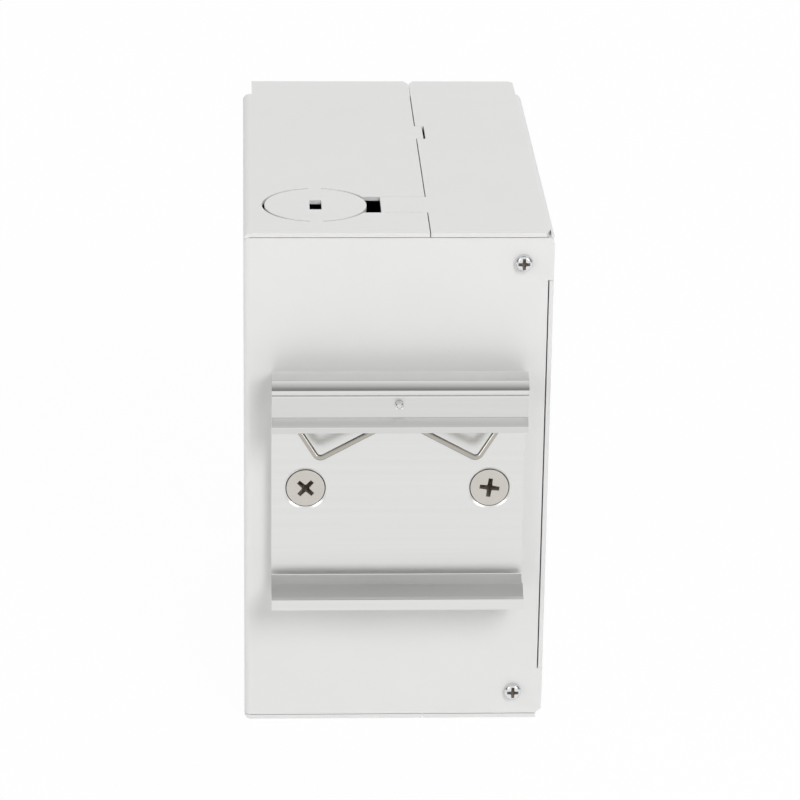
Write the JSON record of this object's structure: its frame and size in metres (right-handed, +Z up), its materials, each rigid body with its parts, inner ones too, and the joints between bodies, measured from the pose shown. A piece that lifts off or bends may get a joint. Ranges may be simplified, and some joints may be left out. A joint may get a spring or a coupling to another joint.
{
  "type": "din rail fibre enclosure",
  "caption": "Upright sheet-metal fibre splice and patch box with an extruded rail clip and wire spring at its back and capped duplex adapters at its front.",
  "frame": {"origin": "centre of the bounding box's bottom face, where the box stands", "axes": "+Z up, -Y out of the back towards the rail, +Y out of the adapter face, +X to the right as seen from the rail"},
  "size_m": [0.058, 0.119, 0.1],
  "materials": {
    "shell_coating": "fine satin powder coat",
    "clip_aluminium": "satin extrusion, lightly drawn along its length",
    "spring_steel": "bright drawn wire",
    "nickel_plate": "bright nickel plate",
    "zinc_plate": "bright zinc plate",
    "adapter_plastic": "moulded",
    "cap_plastic": "soft moulded",
    "sleeve_ceramic": "polished ceramic",
    "tray_plastic": "moulded",
    "lid_plastic": "clear moulded",
    "comb_rubber": "soft moulded"
  },
  "bodies": {
    "enclosure": {"base_shell": "shell_coating", "side_cover": "shell_coating", "adapter_panel": "shell_coating", "rail_clip": "clip_aluminium", "spring_pin": "spring_steel", "clip_screws": "nickel_plate", "clip_nuts": "zinc_plate", "cover_screws": "zinc_plate", "panel_screws": "zinc_plate", "panel_nuts": "zinc_plate", "adapter_screws": "zinc_plate", "alignment_sleeves": "sleeve_ceramic", "rear_dust_caps": "cap_plastic", "tray_standoffs": "zinc_plate", "splice_tray": "tray_plastic", "splice_tray_lid": "lid_plastic", "tray_screws": "zinc_plate", "cable_anchor": "zinc_plate", "anchor_stud": "zinc_plate", "anchor_nut": "zinc_plate", "splice_comb_1": "comb_rubber", "splice_comb_2": "comb_rubber", "front_dust_cap_01": "cap_plastic", "front_dust_cap_02": "cap_plastic", "front_dust_cap_03": "cap_plastic", "front_dust_cap_04": "cap_plastic", "front_dust_cap_05": "cap_plastic", "front_dust_cap_06": "cap_plastic", "front_dust_cap_07": "cap_plastic", "front_dust_cap_08": "cap_plastic", "front_dust_cap_09": "cap_plastic", "front_dust_cap_10": "cap_plastic", "front_dust_cap_11": "cap_plastic", "front_dust_cap_12": "cap_plastic", "sc_adapter_1": "adapter_plastic", "sc_adapter_2": "adapter_plastic", "sc_adapter_3": "adapter_plastic", "sc_adapter_4": "adapter_plastic", "sc_adapter_5": "adapter_plastic", "sc_adapter_6": "adapter_plastic"},
    "spring": {"rail_spring": "spring_steel"}
  },
  "joints": [
    {"name": "spring_flex", "type": "hinge", "parent": "enclosure", "child": "spring", "pos_m": [0, -0.0541, 0.0707], "axis": [1, 0, 0], "range_deg": [0, 10], "stiffness_Nm_per_rad": 2.9}
  ]
}
